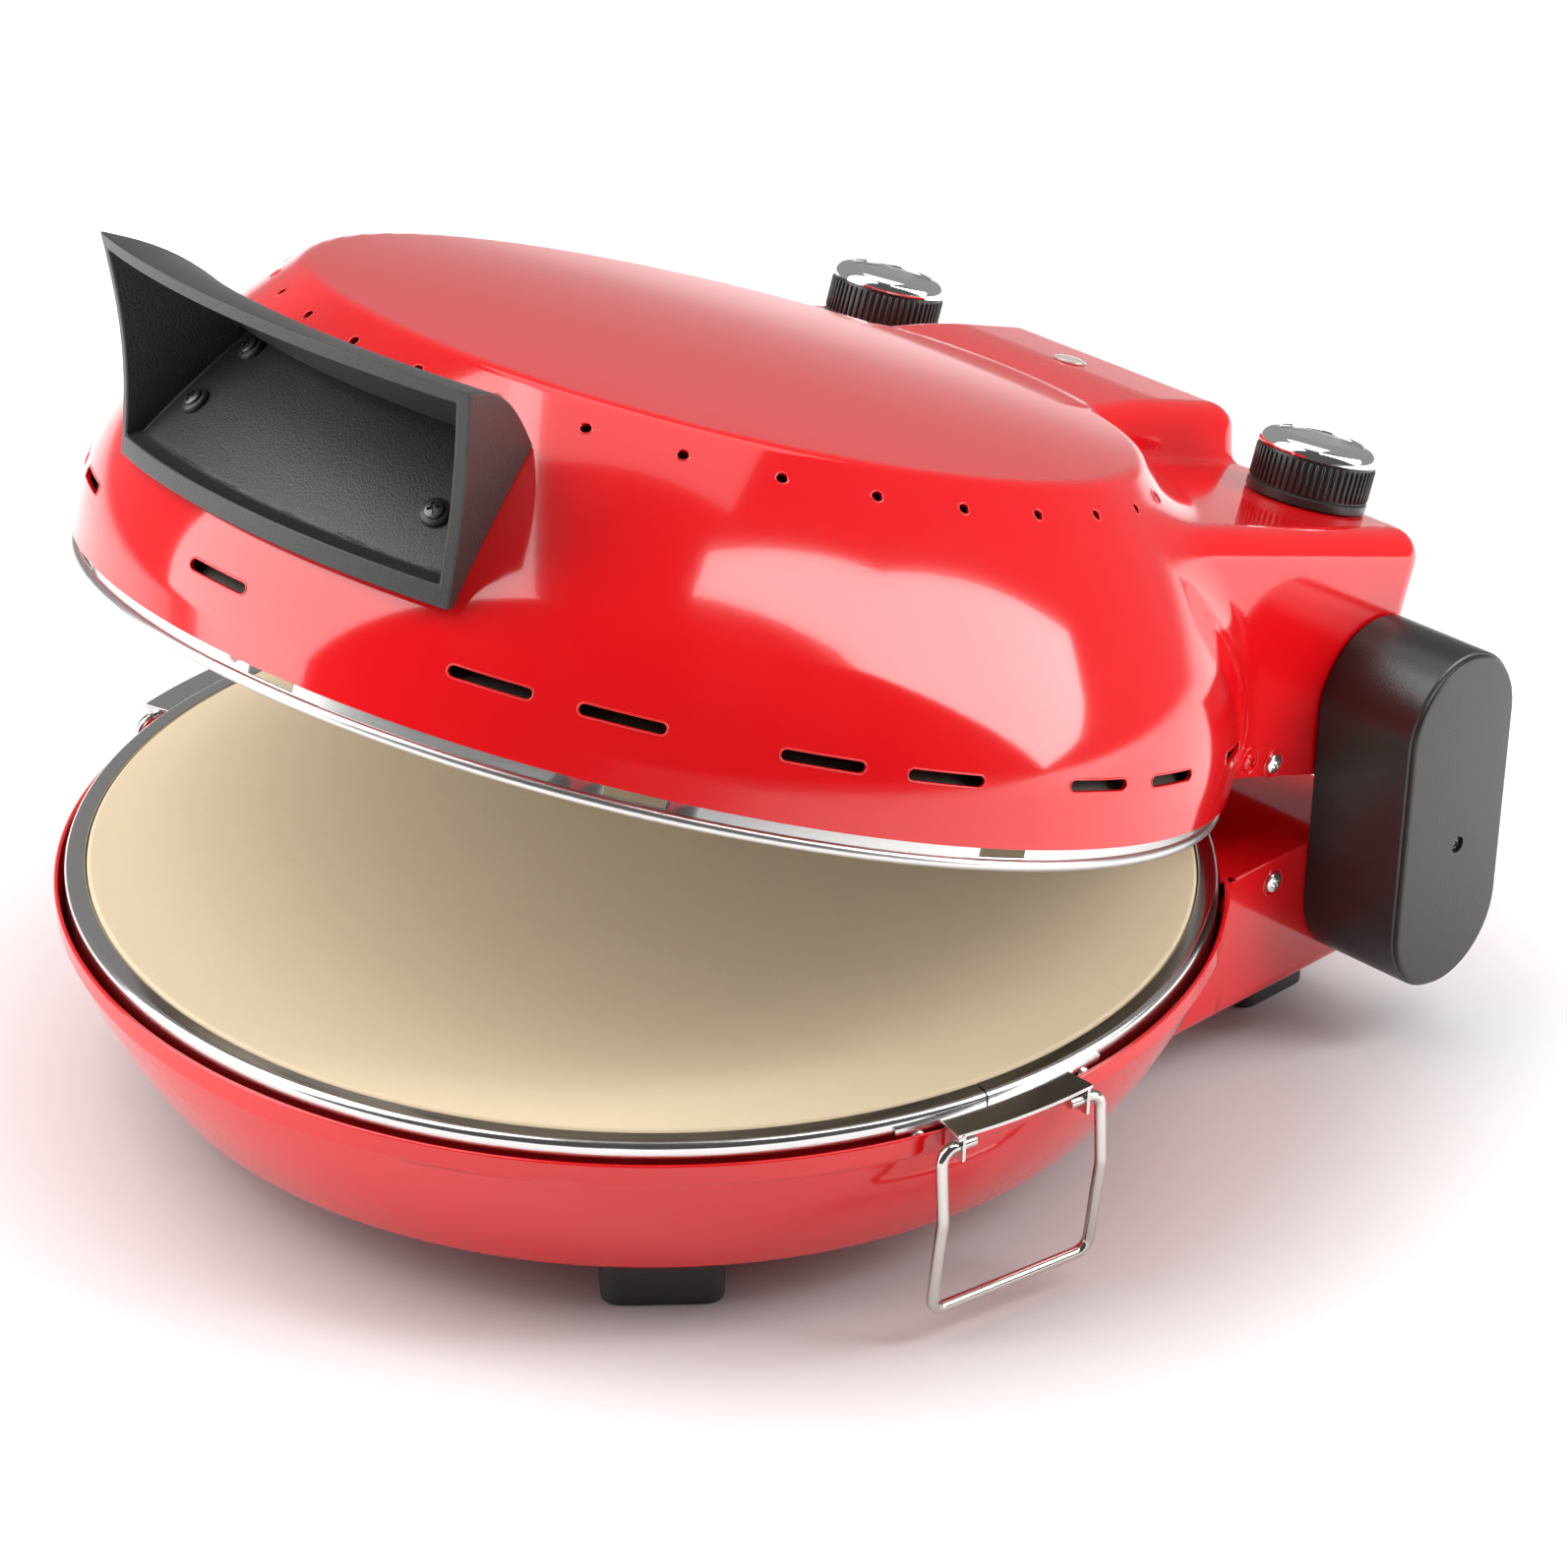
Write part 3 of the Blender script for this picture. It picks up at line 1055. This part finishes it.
def makeKnob(side, name):
    centre = (side * lid["knobX"], lid["knobY"])
    z, r, ring, cap = knob["z"], knob["r"], knob["z"] + knob["ring"], knob["cap"]
    top = z + knob["skirt"]

    def part(suffix, profile, degrees, slot, **shape):
        node = name.replace("_knob", "_" + suffix.lower())
        spunPiece(name + suffix, profile, degrees, name, slot, [node], centre=centre, **shape)

    part("Skirt", [(15.1, z + 3.5), (15.1, z), (r - 0.4, z), (r, z + 0.4), (r, ring - 0.3), (r - 0.3, ring),
                   (r - 0.75, ring + 0.2), (r - 0.75, top - 0.6), (r - 0.9, top), (r - 3, top)],
         28, "knob_black", steps=96)
    angles = np.linspace(0, 2 * math.pi, knob["flutes"], endpoint=False)
    aims = [(math.cos(t), math.sin(t), 0) for t in angles]
    spots = np.array(aims) * (r - knob["ribIn"]) + (*centre, ring + 0.5)
    ribs = scatter(name + "Ribs", lidPlace(spots), lidTurn(aims), lidTurn([(0, 0, 1)] * len(angles)),
                   fluteTemplate, "blackGloss")
    settle(ribs, name, "knob_black")
    capIn, capOut = knob["disc"] + 0.4, r - 0.2
    wide = capOut - capIn
    profile = [(capIn - 4, top - 0.1), (capOut - 0.4, top - 0.05), (capOut, top + 0.3), (capOut, top + 0.8)]
    profile += [(capIn + wide * math.cos(t), top + 0.8 + (cap - 0.8) * math.sin(t))
                for t in np.linspace(0.1, math.pi / 2, 14)]
    high = top + cap
    profile += [(capIn - 0.15, high - 0.15), (capIn - 0.3, high - 0.5), (capIn - 0.35, high - 1.3),
                (capIn - 4, high - 1.3)]
    part("Cap", profile, 40, "knob_chrome", steps=96)
    face, edge = high - 0.55, knob["disc"] - 0.05
    profile = [(0, face - 0.6), (edge, face - 0.6), (edge, face - 0.1), (edge - 0.15, face), (9.6, face),
               (9.45, face - 0.12), (9.15, face), (9.0, face - 0.12), (0, face)]
    part("Disc", profile, 30, "disc_grey", steps=72, closed=False)


fluteTemplate = makeFluteTemplate()
makeKnob(-1, "timer_knob")
makeKnob(1, "thermostat_knob")
bpy.data.objects.remove(fluteTemplate)
bpy.data.objects.remove(screwTemplate)
lens = [(0, 95.6), (5.0, 95.5), (5.1, 95.9), (4.9, 96.3), (4.5, 96.45), (4.3, 96.3), (3.4, 96.55),
        (2.0, 96.8), (0, 96.9)]
spunPiece("lampLens", lens, 35, "lid", "lens", ["lamp_lens"], centre=(0, lid["lampY"]), steps=48,
          closed=False)
print("knobs and lens made")

# The rest: CAD solids with soft edges
for node, body, slot, width in (
        ("feet", "base", "feet_rubber", 0.9), ("foot_screws", "base", "screw_steel", 0.3),
        ("hinge_plate_right", "base", "zinc_steel", 0.4), ("hinge_plate_left", "base", "zinc_steel", 0.4),
        ("hinge_arm_right", "lid", "zinc_steel", 0.4), ("hinge_arm_left", "lid", "zinc_steel", 0.4),
        ("cord_gland", "base", "black_plastic", 0.5), ("lid_reflector", "lid", "aluminised", 0),
        ("lid_pod_plate", "lid", "red_paint", 0), ("upper_heater", "lid", "heater_sheath", 0),
        ("lower_heater", "base", "heater_sheath", 0), ("upper_heater_clips", "lid", "zinc_steel", 0.3),
        ("lower_heater_clips", "base", "zinc_steel", 0.3), ("timer_unit", "lid", "grey_body", 0.5),
        ("thermostat_unit", "lid", "grey_body", 0.5)):
    softCopy(node, body, slot, width)
softCopy("hinge_pins", "base", "plain_steel", 0.3, "screwSteel")

# The lining's back, seen through the slots, is dark from the heat
lining = bpy.data.objects["lid_reflectorSoft"].data
lining.materials.append(looks["sootSteel"])
sootFrom = 15  # height above the lid's rim plane
for face in lining.polygons:
    spot, tip = lidUnplace(np.array([face.center, face.center]) * 1000 + [(0, 0, 0), face.normal])
    out = tip - spot
    if spot[2] > sootFrom and (out[0] * spot[0] + out[1] * spot[1] > 0 or out[2] > 0.5):
        face.material_index = 1

for obj in nodes.values():
    for slot in obj.material_slots:
        found = [look for key, look in slotLooks.items() if slot.material and key in slot.material.name]
        slot.material = looks[found[0]] if found else looks["plainSteel"]
print("carried-over solids dressed")

# Floor, light and camera; tone, glow and fade are from and to distances and the values there, in metres
studio = {"floorHalf": 9.0, "tone": (0.15, 0.34, 0.6, 0.95), "glow": (0.18, 0.4, 0.0, 0.34),
          "fade": (1.4, 2.2, 1.0, 0.5), "skyFrom": (0.68, -0.70, 0.2), "sky": (-0.15, 0.7, 0.32, 0.1),
          "wedge": 7.6, "leftBox": 4.4, "top": 1.5}
wedgeCorners = [(0.73, -0.05, 1.98), (0.93, 0.6, 1.37), (0.92, 1.55, 0.76), (1.45, 1.35, 0.27),
                (1.81, 1.1, 0.06), (1.42, 0.62, 0.78), (1.1, 0.28, 1.37), (0.84, -0.22, 1.98)]
view = {"lens": 113.58, "sensor": 36.0, "far": 50.0, "right": (0.70702209, 0.70672492, 0.02568361),
        "up": (-0.34319561, 0.31113258, 0.88623546), "back": (0.61833367, -0.63540255, 0.4625225),
        "spot": (0.90901, -0.89471, 0.74809)}


def ramp(tree, value, ends, **settings):
    links = {0: value, **{i + 1: end for i, end in enumerate(ends)}}
    return addNode(tree, "ShaderNodeMapRange", links, **settings).outputs[0]


def addSheet(name, corners):
    # A flat stage piece with a material of its own
    mesh = bpy.data.meshes.new(name)
    mesh.from_pydata(corners, [], [tuple(range(len(corners)))])
    material = bpy.data.materials.new(name + "Face")
    material.use_nodes = True
    mesh.materials.append(material)
    obj = toObject(name, mesh)
    return obj, material.node_tree, material.node_tree.nodes["Principled BSDF"].inputs


def makeFloor():
    # Darker under the object, palest round it, and fading into the sky's tone further away
    half = studio["floorHalf"]
    corners = [(-half, -half, 0), (half, -half, 0), (half, half, 0), (-half, half, 0)]
    _, tree, shader = addSheet("floor", corners)
    reach = addNode(tree, "ShaderNodeVectorMath", {0: objectSpot(tree)}, operation="LENGTH").outputs["Value"]
    fade = ramp(tree, reach, studio["fade"])
    for ends, socket in ((studio["tone"], "Base Color"), (studio["glow"], "Emission Color")):
        tree.links.new(calc(tree, "MULTIPLY", ramp(tree, reach, ends), fade), shader[socket])
    shader["Roughness"].default_value = 0.7
    shader["Emission Strength"].default_value = 1.0


def addPanel(name, corners, glare):
    # A cloth panel that glows evenly and that the camera doesn't see
    obj, _, shader = addSheet(name, corners)
    shader["Base Color"].default_value = (0, 0, 0, 1)
    shader["Emission Color"].default_value = (1, 1, 1, 1)
    shader["Emission Strength"].default_value = glare
    obj.visible_camera = False


def addSoftbox(name, azimuth, height, distance, width, tall, glare, lean=0.0, aim=(0.02, -0.03, 0.12)):
    # Azimuth from the front towards the right, both angles in degrees; glare is the box's own brightness
    light = bpy.data.lights.new(name, "AREA")
    light.shape, light.size, light.size_y = "RECTANGLE", width, tall
    light.energy = glare * math.pi * width * tall
    way = Vector(rays(math.radians(azimuth), np.radians([height]))[0])
    turned = way.to_track_quat("Z", "Y").to_matrix() @ Matrix.Rotation(math.radians(lean), 3, "Z")
    toObject(name, light).matrix_world = Matrix.Translation(Vector(aim) + way * distance) @ turned.to_4x4()


def makeSky():
    # White behind the object and dim on the camera's side, for the dark reflections in its front
    world = bpy.context.scene.world = bpy.data.worlds.new("studio")
    world.use_nodes = True
    tree = world.node_tree
    coords = addNode(tree, "ShaderNodeTexCoord")
    parts = addNode(tree, "ShaderNodeVectorMath", {0: coords.outputs["Generated"], 1: studio["skyFrom"]},
                    operation="DOT_PRODUCT")
    back = tree.nodes["Background"].inputs
    shade = ramp(tree, parts.outputs["Value"], studio["sky"], interpolation_type="SMOOTHSTEP")
    tree.links.new(shade, back["Strength"])
    back["Color"].default_value = (1, 1, 1, 1)


def makeCamera():
    data = bpy.data.cameras.new("camera")
    data.lens, data.sensor_width, data.sensor_fit = view["lens"], view["sensor"], "HORIZONTAL"
    data.clip_end = view["far"]
    obj = toObject("camera", data)
    axes = [view[key] for key in ("right", "up", "back", "spot")]
    obj.matrix_world = Matrix([[axis[i] for axis in axes] for i in range(3)] + [[0, 0, 0, 1]])
    bpy.context.scene.camera = obj


bpy.context.scene.view_settings.view_transform = "Standard"
makeFloor()
makeSky()
addPanel("wedgePanel", wedgeCorners, studio["wedge"])
addSoftbox("leftBox", -38, 38, 1.7, 1.4, 2.8, studio["leftBox"], -3.0)
addSoftbox("topBox", -150, 75, 2.2, 1.6, 1.6, studio["top"])
makeCamera()

print("scene made")
